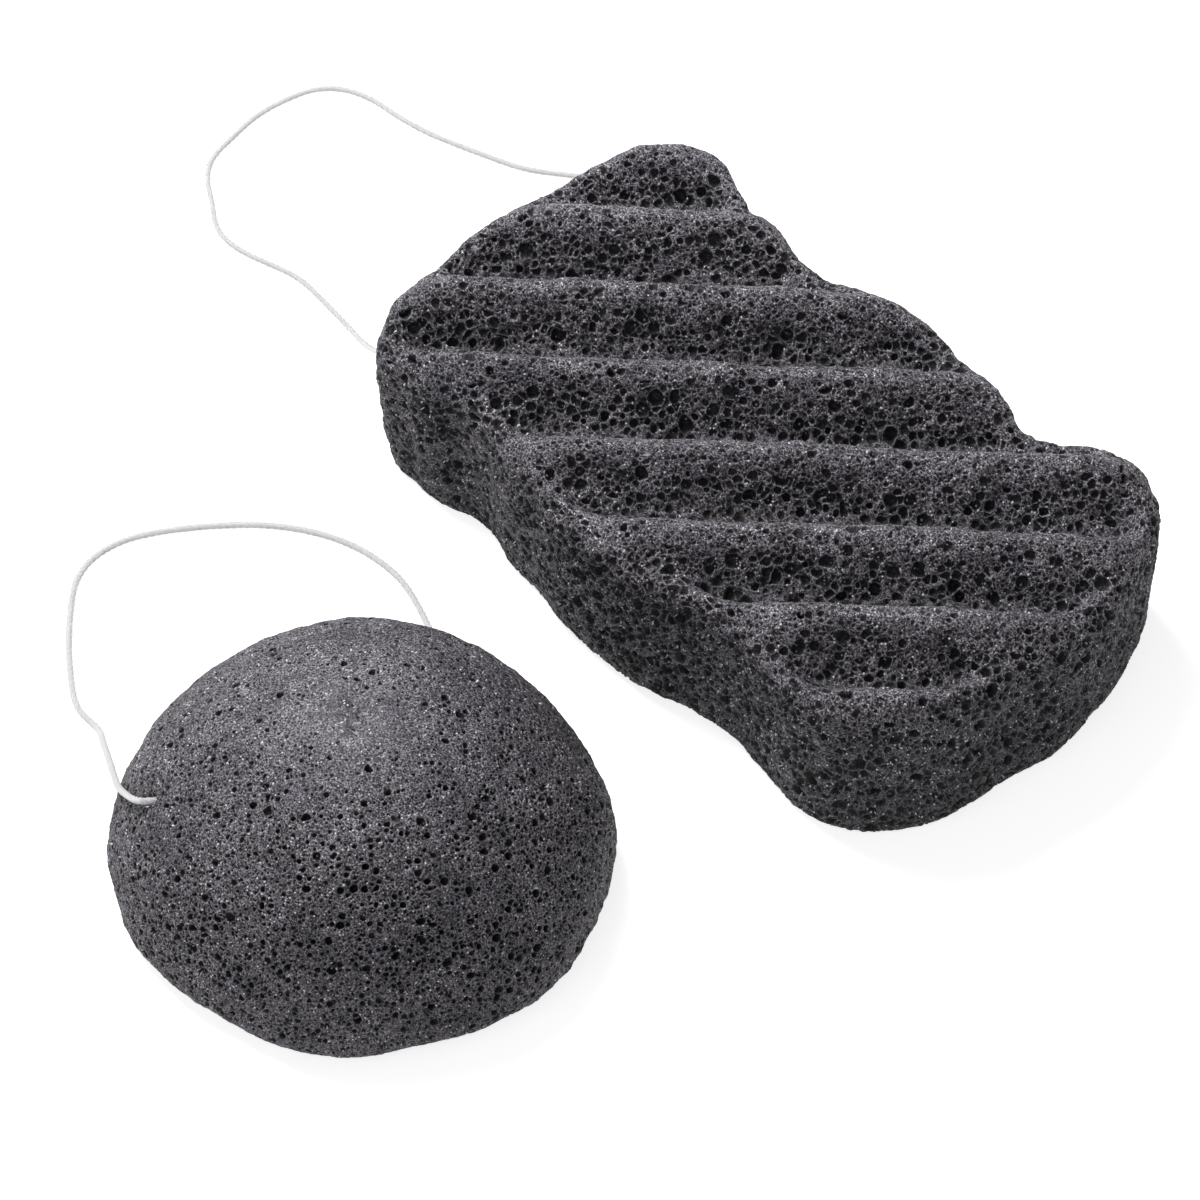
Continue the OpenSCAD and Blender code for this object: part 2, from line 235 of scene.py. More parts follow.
# How a cell sinks: the power that rounds its bowl, how wide the rim is that smaller cells
# leave whole, and how softly that rim ends
BOWL_POWER = 0.6
RIM_OUT = 0.22
RIM_EASE = 0.14
# Readings that stand for no wall near by and for a place far off
NO_WALL = 9.0
FAR_OFF = 1e9
# The middle of the half ball's dimple, and the widths of the dimple, of the shut skin and
# of the paler skin round it. What lies under LOW_H is never near the pole
POLE_X = -1.5
PUCKER_WIDE = 3.6
POLE_WIDE = 8.5
PALE_WIDE = 14.0
LOW_H = 20
LOW_AWAY = 60
# The dimple's depth, and the number, depth and waver of its folds
PUCKER_DEEP = 0.45
FOLDS = 5
FOLD_DEEP = 0.16
FOLD_WAVER = [[2.2, 2.4, 35]]
# The half ball's cells close from this height on, over this much more
CLOSE_FROM = 16
CLOSE_OVER = 18
# The long sponge's top is all that faces up above this height. It is shut round its edge, and
# paler there, most on its far side: painted light shining through the thin foam
TOP_H = 12
EDGE_FROM = 6.5
EDGE_OVER = 5
# The width of the darkest strip along the bottom of a groove, and how much darker it is: painted
# shade in the grooves. The walls are darker too, painted shade on the sides, and all is darker
# towards the table up to this height, painted shade at the foot
VALLEY_WIDE = 1.8
VALLEY_PAINTED_SHADE = 0.42
WALL_PAINTED_SHADE = 0.36
SHADE_H = 22
# How far a cord's mouth sinks, how wide it is, and how softly it ends
MOUTH_DEEP = 1.3
MOUTH_WIDE = 1.7
MOUTH_EASE = 1.1
# How far the whole skin sinks, so that its humps stay near the solid's faces, and the
# heights over the table from which roughness and swells are full
SKIN_IN = 0.12
ROUGH_FROM = 0.6
SWELL_FROM = 3

# Kinds of nodes
NOISE = "ShaderNodeTexNoise"
VORONOI = "ShaderNodeTexVoronoi"
VECTOR_MATHS = "ShaderNodeVectorMath"
# Textures. SWAY pushes the cells about, GRAIN breaks up the struts, WISP draws threads,
# CLOUD is the foam's broad unevenness, and FIBRE is the cotton's nap
SWAY_NOISE = {"Scale": 0.8, "Detail": 1.0}
GRAIN_NOISE = {"Scale": 3.2, "Detail": 1.0, "Roughness": 0.7}
WISP_NOISE = {"Scale": 1.4, "Detail": 0.0}
CLOUD_NOISE = {"Scale": 0.12, "Detail": 4.0, "Roughness": 0.6}
FIBRE_NOISE = {"Scale": 3800.0, "Detail": 4.0, "Roughness": 0.7}
CLOUD_STOPS = [
    (0.3, (0.72, 0.72, 0.76, 1)), (0.5, (0.96, 0.94, 0.95, 1)), (0.7, (1.2, 1.2, 1.2, 1)),
]
COTTON_STOPS = [(0.3, (0.92, 0.905, 0.965, 1)), (0.7, (0.96, 0.945, 0.99, 1))]
COTTON_ROUGH = [(0.3, (0.95, 0.95, 0.95, 1)), (0.7, (0.75, 0.75, 0.75, 1))]
# Where a reading turns from 0 to 1
GRAIN_STEP = (0.46, 0.59)
MOUTH_STEP = (-0.02, 0.05)
RIM_END = -0.05
NET_STEP = (0.03, 0.18)
THREAD_STEP = (0.008, 0.042)
CLUSTER_STEP = (0.48, 0.66)
CHANCE_STEP = (0.945, 0.985)
SPARK_STEP = (0.3, 0.55)
# How strongly the mouths and the rims of each size of cell show
MOUTH_WEIGHTS = (1.0, 1.0, 0.95, 0.8)
RIM_WEIGHTS = (1.0, 1.0, 0.85, 0.6)
# How much of its strength a part of the skin takes from the grain, or from its cell's draw,
# and how much it has without
RIM_SHARE = (0.7, 0.3)
NET_GRAIN = (0.75, 0.1)
THREAD_GRAIN = (0.55, 0.35)
RIM_GRAIN = (0.6, 0.4)
SKIN_GRAIN = 0.1
# Painted glints: size, how much more likely they are in a cluster, and screen level
SPARK_SIZE = 0.36
CLUSTER_SHARE = 0.06
PAINTED_GLINT_LEVEL = 250
# A mouth's tones from its depth to the net inside it, times its colour, and how much of
# them a cord's mouth takes
MOUTH_TONES = (0.7, 1.4, 3.2)
ENTRY_SHARE = 0.9
# Lowers a shut cell's reading, so that it has no mouth
SHUT_OFF = 5.0
# The foam's tint, roughness, how much less rough the painted glints and the struts are, and gloss
FOAM_TINT = (0.995, 0.95, 1.055)
FOAM_ROUGH = 0.7
SPARK_SMOOTH = 0.4
STRUT_SMOOTH = 0.2
FOAM_GLOSS = 0.32
FOAM_BUMP_M = 0.0002
COTTON_BUMP_M = 0.00008
COTTON_FINISH = {
    "Sheen Weight": 1.0, "Sheen Roughness": 0.6, "Subsurface Weight": 1.0,
    "Subsurface Radius": (1.0, 1.0, 1.0), "Subsurface Scale": 0.0025,
}

# The floor's half side and glow, the soft square lamps, each with its place in metres, side
# and power, and the light from all round
FLOOR_HALF = 3000
FLOOR_GLOW = 0.78
LAMPS = [("key", (-0.47, 0.56, 1.01), 0.6, 13.3), ("fill", (-0.6, -0.9, 0.9), 1.0, 2.2)]
SKY_LEVEL = 0.19

# Numbers that mix a lattice cell's place and a seed, and the random numbers that they pick
# from for the soft noise
MIX_X, MIX_Y, MIX_Z, MIX_ALL = (np.uint32(v) for v in (73856093, 19349663, 83492791, 1274126177))
MIX_SEED = 374761393
TABLE = np.random.RandomState(20).rand(65536, 5)[:, 0].astype(np.float32)


def unit(v):
    """The direction of v, with length 1."""
    v = np.asarray(v, float)
    return v / np.linalg.norm(v)


def on_table(points, at, turn):
    """Points in a sponge's own axes, moved to its place on the table."""
    points = np.asarray(points, float)
    c, s = math.cos(turn), math.sin(turn)
    x = points[..., 0] * c - points[..., 1] * s + at[0]
    y = points[..., 0] * s + points[..., 1] * c + at[1]
    return np.stack([x, y, points[..., 2] + at[2]], -1)


class Bend:
    """The bend of a held cord from point a to point b, to the right of the line between them."""

    def __init__(self, a, b, half_turn):
        self.a, self.b, self.h = np.asarray(a, float), np.asarray(b, float), half_turn
        run = self.b - self.a
        self.r = np.linalg.norm(run) / 2 / math.sin(half_turn)
        self.ahead = unit(run)
        self.left = unit([-run[1], run[0], 0.0])
        self.reach = half_turn + CORD_OUT / self.r

    def point(self, t):
        """The place at an angle t from the middle of the bend."""
        return (
            (self.a + self.b) / 2
            + self.ahead * self.r * math.sin(t)
            + self.left * self.r * (math.cos(self.h) - math.cos(t))
        )

    def heading(self, t):
        """The cord's direction there."""
        return self.ahead * math.cos(t) + self.left * math.sin(t)


def dome_r(z):
    """The half ball's radius at a height."""
    return FACE_R * np.sqrt(1 - (np.maximum(z - FACE_RIM, 0) / (FACE_H - FACE_RIM)) ** 2)


def on_dome(turn, z):
    """The place on the dome at a turn in degrees and a height."""
    r = float(dome_r(z))
    return [r * math.cos(math.radians(turn)), r * math.sin(math.radians(turn)), z]


def outline_corner(which):
    """A corner of the long sponge's outline, at the height of its mouths."""
    return [OUTLINE[which][0] * BODY_HALF_L, OUTLINE[which][1] * BODY_HALF_W, BODY_MOUTH_H]


face_bend = Bend(on_dome(*FACE_MOUTH), on_dome(*FACE_EXIT), FACE_BEND)
body_bend = Bend(outline_corner(BODY_MOUTH), outline_corner(BODY_EXIT), BODY_BEND)


def mesh_object(name, points, faces):
    """A smooth mesh from points in millimetres and an array of triangles or quads."""
    mesh = bpy.data.meshes.new(name)
    points = np.asarray(points, np.float32) * MM
    faces = np.asarray(faces, np.int32)
    corners = faces.shape[1]
    mesh.vertices.add(len(points))
    mesh.vertices.foreach_set("co", points.ravel())
    mesh.loops.add(faces.size)
    mesh.loops.foreach_set("vertex_index", faces.ravel())
    mesh.polygons.add(len(faces))
    mesh.polygons.foreach_set("loop_start", np.arange(0, faces.size, corners, dtype=np.int32))
    mesh.polygons.foreach_set("use_smooth", np.full(len(faces), True))
    mesh.update(calc_edges=True)
    mesh.validate()
    made = bpy.data.objects.new(name, mesh)
    bpy.context.collection.objects.link(made)
    return made


def resampled(points, step):
    """A smooth curve through the points, sampled at an even step."""
    p = np.asarray(points, float)
    p = np.vstack([2 * p[0] - p[1], p, 2 * p[-1] - p[-2]])
    out = []
    for i in range(1, len(p) - 2):
        a, b, c, d = p[i - 1], p[i], p[i + 1], p[i + 2]
        ta = np.linalg.norm(b - a) ** 0.5
        tb = np.linalg.norm(c - b) ** 0.5
        tc = np.linalg.norm(d - c) ** 0.5
        m1 = (c - b) + tb * ((b - a) / ta - (c - a) / (ta + tb))
        m2 = (c - b) + tb * ((d - c) / tc - (d - b) / (tb + tc))
        t = np.linspace(0, 1, CURVE_STEPS, endpoint=False)[:, None]
        out.append(
            (2 * t**3 - 3 * t**2 + 1) * b
            + (t**3 - 2 * t**2 + t) * m1
            + (-2 * t**3 + 3 * t**2) * c
            + (t**3 - t**2) * m2
        )
    out.append(p[-2][None])
    out = np.vstack(out)
    run = np.concatenate([[0], np.cumsum(np.linalg.norm(np.diff(out, axis=0), axis=1))])
    count = max(2, int(round(run[-1] / step)) + 1)
    s = np.linspace(0, run[-1], count)
    return np.stack([np.interp(s, run, out[:, k]) for k in range(3)], -1)


def rounded(line, wide):
    """The line with its corners eased over a width counted in points, its ends kept."""
    reach = 3 * wide
    weight = np.exp(-np.arange(-reach, reach + 1) ** 2 / (2.0 * wide**2))
    long = np.vstack([
        2 * line[0] - line[reach:0:-1], line, 2 * line[-1] - line[-2 : -reach - 2 : -1],
    ])
    weight = weight / weight.sum()
    return np.stack([np.convolve(long[:, k], weight, "valid") for k in range(3)], -1)


def carried_frames(line):
    """Two directions square to the line, carried along it without twisting."""
    ahead = np.gradient(line, axis=0)
    ahead /= np.linalg.norm(ahead, axis=1)[:, None]
    side = np.cross(ahead[0], [0, 0, 1.0])
    if np.linalg.norm(side) < 1e-6:
        side = np.array([1.0, 0, 0])
    sides = np.empty_like(line)
    for i, a in enumerate(ahead):
        side = side - a * (side @ a)
        side = side / np.linalg.norm(side)
        sides[i] = side
    return sides, np.cross(ahead, sides)


def closed_skin(rings, first_end, last_end):
    """Points and triangles of a closed skin over rings of points, with a point at each end."""
    count, sides = rings.shape[:2]
    i = np.arange(count - 1)[:, None] * sides
    k = np.arange(sides)
    k2 = (k + 1) % sides
    quads = np.stack([i + k, i + k2, i + sides + k2, i + sides + k], -1).reshape(-1, 4)
    top = (count - 1) * sides
    first = np.stack([np.full(sides, count * sides), k2, k], -1)
    last = np.stack([np.full(sides, count * sides + 1), top + k, top + k2], -1)
    points = np.vstack([rings.reshape(-1, 3), [first_end], [last_end]])
    return points, np.vstack([quads[:, [0, 1, 2]], quads[:, [0, 2, 3]], first, last])


def twisted(line, thick, lay=LAY):
    """Points and triangles of a cord laid from strands, twisted round a line."""
    run = np.concatenate([[0], np.cumsum(np.linalg.norm(np.diff(line, axis=0), axis=1))])
    turn = np.arange(CORD_SIDES) * 2 * math.pi / CORD_SIDES
    laid = turn[None] - 2 * math.pi * run[:, None] / lay
    part = 2 * math.pi / STRANDS
    off = laid - np.round(laid / part) * part
    uneven = 1 + 0.06 * np.sin(run * 0.9) + 0.04 * np.sin(run * 2.3 + 1)
    far = STRAND_FAR * thick * uneven[:, None]
    wide = STRAND_R * thick
    radius = far * np.cos(off) + np.sqrt(wide**2 - (far * np.sin(off)) ** 2)
    a, b = carried_frames(line)
    way = a[:, None] * np.cos(turn)[None, :, None] + b[:, None] * np.sin(turn)[None, :, None]
    return closed_skin(line[:, None] + radius[:, :, None] * way, line[0], line[-1])


def lattice_draw(ix, iy, iz, seed):
    """The random number that belongs to a cell of a lattice."""
    with np.errstate(over="ignore"):
        h = (
            ix.astype(np.uint32) * MIX_X ^ iy.astype(np.uint32) * MIX_Y
            ^ iz.astype(np.uint32) * MIX_Z ^ np.uint32(seed * MIX_SEED % 2**32)
        )
        h = (h ^ (h >> np.uint32(13))) * MIX_ALL
        h ^= h >> np.uint32(16)
    return TABLE[h & np.uint32(len(TABLE) - 1)]


def soft_noise(p, size, seed):
    """Smooth noise from -1 to 1 with humps about as wide as size."""
    q = p / size
    low = np.floor(q)
    f = q - low
    f = f * f * (3 - 2 * f)
    low = low.astype(np.int64)
    total = np.zeros(len(p))
    for dx in (0, 1):
        for dy in (0, 1):
            for dz in (0, 1):
                w = (f[:, 0] if dx else 1 - f[:, 0]) * (f[:, 1] if dy else 1 - f[:, 1])
                w = w * (f[:, 2] if dz else 1 - f[:, 2])
                total += w * lattice_draw(low[:, 0] + dx, low[:, 1] + dy, low[:, 2] + dz, seed)
    return total * 2 - 1


def layered_noise(p, layers):
    """The sum of some layers of noise: height, size of the humps, and seed."""
    return sum(high * soft_noise(p, size, seed) for high, size, seed in layers)


def eased(t):
    """0 below 0, 1 above 1, eased between."""
    t = np.clip(t, 0, 1)
    return t * t * (3 - 2 * t)


def face_form():
    """The half ball's smooth form in its own axes: points and triangles."""
    rise = FACE_H - FACE_RIM
    turn = np.radians(np.linspace(0, 90, DOME_STEPS))
    dome = np.stack([FACE_R * np.cos(turn), FACE_RIM + rise * np.sin(turn)], -1)
    turn = np.radians(np.linspace(0, 90, RIM_STEPS, endpoint=False))
    rim = np.stack([FACE_R - FACE_RIM * (1 - np.sin(turn)), FACE_RIM * (1 - np.cos(turn))], -1)
    reach = np.linspace(0, FACE_R - FACE_RIM, BASE_STEPS, endpoint=False)
    base = np.stack([reach, np.zeros(BASE_STEPS)], -1)
    profile = np.vstack([base[1:], rim, dome[:-1]])
    turns = np.arange(FACE_SIDES) * 2 * math.pi / FACE_SIDES
    rings = np.stack([
        profile[:, None, 0] * np.cos(turns),
        profile[:, None, 0] * np.sin(turns),
        np.repeat(profile[:, 1:2], FACE_SIDES, 1),
    ], -1)
    push = layered_noise(rings.reshape(-1, 3), FACE_OUTLINE_NOISE)
    push = push.reshape(len(profile), FACE_SIDES)
    for turn, z, wide, far in FACE_DENTS:
        along = (turns - math.radians(turn) + math.pi) % (2 * math.pi) - math.pi
        off = (along * FACE_R) ** 2 + (profile[:, 1:2] - z) ** 2
        push += far * np.exp(-off / (2 * wide**2))
    rings[..., :2] *= (1 + push / FACE_R)[..., None]
    return closed_skin(rings, [0, 0, 0], [0, 0, FACE_H])


def outline_points(steps):
    """The long sponge's wavy outline as a smooth ring of plan places."""
    corners = np.array(OUTLINE) * [BODY_HALF_L, BODY_HALF_W]
    n = len(corners)
    out = []
    for i in range(n):
        p0, p1, p2, p3 = corners[i - 1], corners[i], corners[(i + 1) % n], corners[(i + 2) % n]
        for k in range(steps):
            t = k / steps
            out.append((
                2 * p1 + (p2 - p0) * t + (2 * p0 - 5 * p1 + 4 * p2 - p3) * t * t
                + (3 * p1 - p0 - 3 * p2 + p3) * t**3
            ) / 2)
    return np.array(out)


def uneven_outline():
    """The same ring with the soft bulges and dents of the real sponge."""
    ring = outline_points(OUTLINE_STEPS)
    way = np.roll(ring, -1, 0) - np.roll(ring, 1, 0)
    out = np.column_stack([way[:, 1], -way[:, 0]]) / np.linalg.norm(way, axis=1)[:, None]
    out *= np.sign((out * ring).sum(1).mean())
    flat = np.column_stack([ring, np.zeros(len(ring))])
    push = layered_noise(flat, BODY_OUTLINE_NOISE)
    for x, y, wide, far in BODY_DENTS:
        push += far * np.exp(-((ring - [x, y]) ** 2).sum(1) / (2 * wide**2))
    return ring + out * push[:, None]


outline = uneven_outline()


def inset(p):
    """How far points p of the plan lie from the outline."""
    best = np.full(len(p), FAR_OFF)
    for i in range(len(outline)):
        a, run = outline[i], outline[(i + 1) % len(outline)] - outline[i]
        t = np.clip(((p - a) @ run) / (run @ run), 0, 1)
        d = p - a - t[:, None] * run
        np.minimum(best, (d * d).sum(1), out=best)
    return np.sqrt(best)


# The same reading on a plan of 1 mm squares, for many points
PLAN_X, PLAN_Y = np.arange(-72.0, 73.0), np.arange(-46.0, 47.0)
plan_places = np.stack(np.meshgrid(PLAN_X, PLAN_Y), -1).reshape(-1, 2)
PLAN = inset(plan_places).reshape(len(PLAN_Y), len(PLAN_X))


def inset_read(p):
    """How far points p lie from the outline, read off the plan of squares."""
    x = np.clip(p[:, 0] - PLAN_X[0], 0, len(PLAN_X) - 1.01)
    y = np.clip(p[:, 1] - PLAN_Y[0], 0, len(PLAN_Y) - 1.01)
    i, k = x.astype(int), y.astype(int)
    x, y = x - i, y - k
    return (
        (PLAN[k, i] * (1 - x) + PLAN[k, i + 1] * x) * (1 - y)
        + (PLAN[k + 1, i] * (1 - x) + PLAN[k + 1, i + 1] * x) * y
    )


# The direction across the grooves, in plan
ACROSS = np.array([-math.sin(RIDGE_TURN), math.cos(RIDGE_TURN)])


def groove_share(p):
    """0 on the crests of the ridges and 1 along the bottoms of the grooves."""
    return (1 + np.cos(2 * math.pi * (p @ ACROSS - RIDGE_SHIFT) / RIDGE_PITCH)) / 2


def ridged_height(p, d):
    """The height of the ridged top at points p that lie d inside the outline."""
    lean = np.maximum(BODY_EDGE - d, 0)
    return (
        BODY_H - BODY_EDGE + np.sqrt(BODY_EDGE**2 - lean**2)
        - eased(d / RIDGE_FADE) * RIDGE_DEPTH * groove_share(p)
    )


def body_form():
    """The long sponge's smooth form in its own axes: points and triangles."""
    n = len(outline)
    rings = []
    for share in BOW_SHARES:
        drawn = BODY_BASE_IN * (1 - math.sqrt(1 - (1 - share) ** 2))
        scale = np.array([1 - drawn / BODY_HALF_L, 1 - drawn / BODY_HALF_W])
        rings.append(np.column_stack([outline * scale, np.full(n, BODY_BOW_H * share)]))
    for s in 1 - np.concatenate([EDGE_SHARES, TOP_SHARES]):
        p = outline * s
        d = inset(p) if s < 1 else np.zeros(n)
        rings.append(np.column_stack([p, ridged_height(p, d)]))
    centre = np.array([[0.0, 0.0]])
    top = float(ridged_height(centre, inset(centre))[0])
    return closed_skin(np.array(rings), [0, 0, 0], [0, 0, top])


def node(tree, kind, **settings):
    """A new node. Each setting is the value of an input or else a property."""
    made = tree.nodes.new(kind)
    for key, value in settings.items():
        if key in made.inputs.keys():
            made.inputs[key].default_value = value
        else:
            setattr(made, key, value)
    return made


def textured(tree, kind, place, **settings):
    """A texture node read at a place."""
    made = node(tree, kind, **settings)
    tree.links.new(place, made.inputs["Vector"])
    return made


def feed(tree, socket, value):
    """Give an input another node's output or a plain value."""
    if isinstance(value, bpy.types.NodeSocket):
        tree.links.new(value, socket)
    else:
        socket.default_value = value


def maths(tree, operation, *values, kind="ShaderNodeMath"):
    """The result of a maths node on sockets or plain values."""
    made = node(tree, kind, operation=operation)
    for socket, value in zip(made.inputs, values):
        feed(tree, socket, value)
    return made.outputs[0]


def warped(tree, where, far):
    """A place in millimetres pushed about a little, so that no cell is a plain polygon."""
    sway = textured(tree, NOISE, where, **SWAY_NOISE).outputs["Color"]
    even = maths(tree, "SUBTRACT", sway, (0.5, 0.5, 0.5), kind=VECTOR_MATHS)
    return maths(tree, "MULTIPLY_ADD", even, (far, far, far), where, kind=VECTOR_MATHS)


def cell_nodes(tree, where, cells):
    """Readings of one size of cells at a place: how near the middle, the draw, and the edge."""
    scale = 1.0 / cells.size
    near = textured(tree, VORONOI, where, feature="F1", Scale=scale).outputs
    edge = None
    if cells.wall:
        edge = textured(tree, VORONOI, where, feature="DISTANCE_TO_EDGE", Scale=scale)
        edge = edge.outputs["Distance"]
    return near["Distance"], near["Color"], edge


def taken(source, key, count, kind=np.float32):
    """A flat array of one property of a mesh's vertices, loops or attribute values."""
    out = np.empty(count, kind)
    source.foreach_get(key, out)
    return out


def fine_skin(name, points, faces, voxel, cells, sway):
    """The form with an even, fine skin: its points, normals, faces, and the cells there."""
    coarse = mesh_object(name + "_form", points, faces)
    remesh = coarse.modifiers.new("fine", "REMESH")
    remesh.mode = "VOXEL"
    remesh.voxel_size = voxel * MM
    remesh.adaptivity = 0.0
    tree = bpy.data.node_groups.new("cells", "GeometryNodeTree")
    for way in ("INPUT", "OUTPUT"):
        tree.interface.new_socket("Geometry", in_out=way, socket_type="NodeSocketGeometry")
    start, last = node(tree, "NodeGroupInput"), node(tree, "NodeGroupOutput")
    place = node(tree, "GeometryNodeInputPosition")
    large = node(tree, VECTOR_MATHS, operation="SCALE", Scale=1 / MM)
    tree.links.new(place.outputs[0], large.inputs[0])
    flow = start.outputs[0]
    where = warped(tree, large.outputs[0], sway)
    kinds = {"near": "FLOAT", "draw": "FLOAT_VECTOR", "edge": "FLOAT"}
    for c in cells:
        for (key, kind), out in zip(kinds.items(), cell_nodes(tree, where, c)):
            if out is None:
                continue
            keep = node(tree, "GeometryNodeStoreNamedAttribute", data_type=kind, domain="POINT")
            keep.inputs["Name"].default_value = key + c.name
            tree.links.new(flow, keep.inputs["Geometry"])
            tree.links.new(out, keep.inputs["Value"])
            flow = keep.outputs[0]
    tree.links.new(flow, last.inputs[0])
    coarse.modifiers.new("cells", "NODES").node_group = tree
    graph = bpy.context.evaluated_depsgraph_get()
    mesh = bpy.data.meshes.new_from_object(coarse.evaluated_get(graph))
    n = len(mesh.vertices)
    co = taken(mesh.vertices, "co", n * 3).reshape(-1, 3)
    no = taken(mesh.vertex_normals, "vector", n * 3).reshape(-1, 3)
    quads = taken(mesh.loops, "vertex_index", len(mesh.loops), np.int32).reshape(-1, 4)
    read = {}
    for c in cells:
        near = taken(mesh.attributes["near" + c.name].data, "value", n)
        draw = taken(mesh.attributes["draw" + c.name].data, "vector", n * 3).reshape(-1, 3)
        edge = np.full(n, NO_WALL, np.float32)
        if c.wall:
            edge = taken(mesh.attributes["edge" + c.name].data, "value", n)
        read[c.name] = near * c.size, edge * c.size, draw
    bpy.data.objects.remove(coarse)
    bpy.data.meshes.remove(mesh)
    bpy.data.node_groups.remove(tree)
    return co.astype(float) / MM, no.astype(float), quads, read


def opened(cells, read, coarse, fine):
    """How deep the open cells sink the skin. coarse and fine say how many of the two larger
    and of the smaller sizes are open, as shares of their plain number."""
    depth, rim = 0.0, 0.0
    for c in cells:
        near, edge, draw = read[c.name]
        is_open = draw[:, 1] < c.share * (coarse if c.name in "ab" else fine)
        mouth = c.low + (c.high - c.low) * draw[:, 0]
        inside = np.where(is_open, np.minimum(mouth - near, edge - c.wall), -1.0)
        bowl = eased(inside / np.maximum(0.5 * mouth, 0.05)) ** BOWL_POWER
        sunk = c.deep * (0.5 + 0.5 * draw[:, 2]) * bowl
        depth = np.maximum(depth, sunk * (1 - rim))
        rim = np.maximum(rim, is_open * eased((inside + RIM_OUT) / RIM_EASE) * (inside < 0))
    return depth


def mouths(points, places):
    """1 at the places where a cord goes in, 0 a little way off."""
    near = np.full(len(points), FAR_OFF)
    for place in places:
        near = np.minimum(near, np.linalg.norm(points - place, axis=1))
    return eased((MOUTH_WIDE - near) / MOUTH_EASE)


def patches(points, places):
    """A tone that is 1, and more or less round some places: place, width, and how much."""
    tone = np.ones(len(points))
    for x, y, z, wide, much in places:
        tone += much * np.exp(-((points - [x, y, z]) ** 2).sum(1) / (2 * wide**2))
    return tone


def hump(off, wide):
    """1 in the middle, falling away over a width."""
    return np.exp(-(off**2) / (2 * wide**2))


def sinking(points, depth, rough, swell):
    """How far the skin sinks: less for cells near the table, and flat where it rests."""
    low = np.clip(points[:, 2] / ROUGH_FROM, 0, 1)
    swells = swell * eased(points[:, 2] / SWELL_FROM)
    return depth * (0.3 + 0.7 * low) - rough * low - swells + SKIN_IN


def face_map(points, normals, quads):
    """The half ball's UV map: its dome laid out flat round the pole, and its base, small."""
    size, reach = 136.0, 66.0
    from_pole = np.arctan2(np.hypot(points[:, 0], points[:, 1]) / FACE_R, points[:, 2] / FACE_H)
    turn = np.arctan2(points[:, 1], points[:, 0])
    far = reach * from_pole / (math.pi / 2)
    dome = size / 2 + np.stack([far * np.cos(turn), far * np.sin(turn)], -1)
    base = 12.0 + 0.27 * points[:, :2]
    under = normals[quads][:, :, 2].mean(1) < -0.5
    return np.where(under[:, None, None], base[quads], dome[quads]) / size


def body_map(points, normals, quads):
    """The long sponge's UV map: its top, its four walls, and its base, small."""
    size = 160.0
    x, y, z = points.T
    top = np.stack([x + 67, y + 41], -1)
    front = np.stack([x + 67, z * 0.75 + 84], -1)
    rear = np.stack([x + 67, z * 0.75 + 111], -1)
    right = np.stack([z * 0.72 + 135.5, y + 41], -1)
    left = np.stack([y + 41, z * 0.6 + 138], -1)
    base = np.stack([x * 0.28 + 105, y * 0.26 + 149], -1)
    way = normals[quads].mean(1)
    endways, sideways = way[:, 0], np.abs(way[:, 1])
    lies = [
        way[:, 2] < -0.5, way[:, 2] > 0.5, endways > sideways, -endways > sideways,
        way[:, 1] < 0,
    ]
    parts = [part[quads] for part in (base, top, right, left, front, rear)]
    return np.select([case[:, None, None] for case in lies], parts[:-1], parts[-1]) / size


def foam_object(name, points, normals, quads, sink, values, layout, at, turn):
    """A sponge from its fine skin, sunk along its normals, with values for its material."""
    sunk = points - normals * sink[:, None]
    made = mesh_object(name, on_table(sunk, at, turn), quads)
    flat = made.data.uv_layers.new(name="OFBake", do_init=False)
    flat.uv.foreach_set("vector", layout(points, normals, quads).astype(np.float32).ravel())
    for key, value in values.items():
        layer = made.data.attributes.new(key, "FLOAT", "POINT")
        layer.data.foreach_set("value", value.astype(np.float32))
    rest = made.data.attributes.new("rest", "FLOAT_VECTOR", "POINT")
    rest.data.foreach_set("vector", points.astype(np.float32).ravel())
    return made


def face_sponge():
    """The half ball: shut and pale round its dimpled pole, more open towards the table."""
    points, normals, quads, read = fine_skin(
        "face", *face_form(), FACE_VOXEL, FACE_CELLS, FACE_SWAY
    )
    x, y, z = points.T
    away = np.hypot(x - POLE_X, y) + LOW_AWAY * (z < LOW_H)
    turn = np.arctan2(y, x - POLE_X)
    pole = hump(away, POLE_WIDE)
    up = eased((z - CLOSE_FROM) / CLOSE_OVER)
    patchy = soft_noise(points, *FACE_PATCHES)
    coarse = 1.15 - 0.8 * pole + 0.28 * patchy - 0.6 * up
    fine = 1.1 - 0.6 * pole + 0.25 * patchy - 0.15 * up
    mouth = mouths(points, [face_bend.a, face_bend.b])
    depth = opened(FACE_CELLS, read, coarse, fine) + MOUTH_DEEP * mouth
    pucker = hump(away, PUCKER_WIDE)
    fold = np.cos(FOLDS * turn + layered_noise(points, FOLD_WAVER)) * eased(away / 1.2)
    swell = layered_noise(points, FACE_SWELL) - pucker * (PUCKER_DEEP + FOLD_DEEP * fold)
    values = {
        "coarse": coarse, "fine": fine, "shut": pole,
        "tone": patches(points, FACE_TONES) * (0.62 + 0.27 * hump(away, PALE_WIDE)),
        "mouth": np.maximum(mouth, 0.35 * pucker * (1 - fold)),
    }
    sink = sinking(points, depth, layered_noise(points, FACE_ROUGH), swell)
    return foam_object(
        "face_foam", points, normals, quads, sink, values, face_map, FACE_AT, 0.0
    )


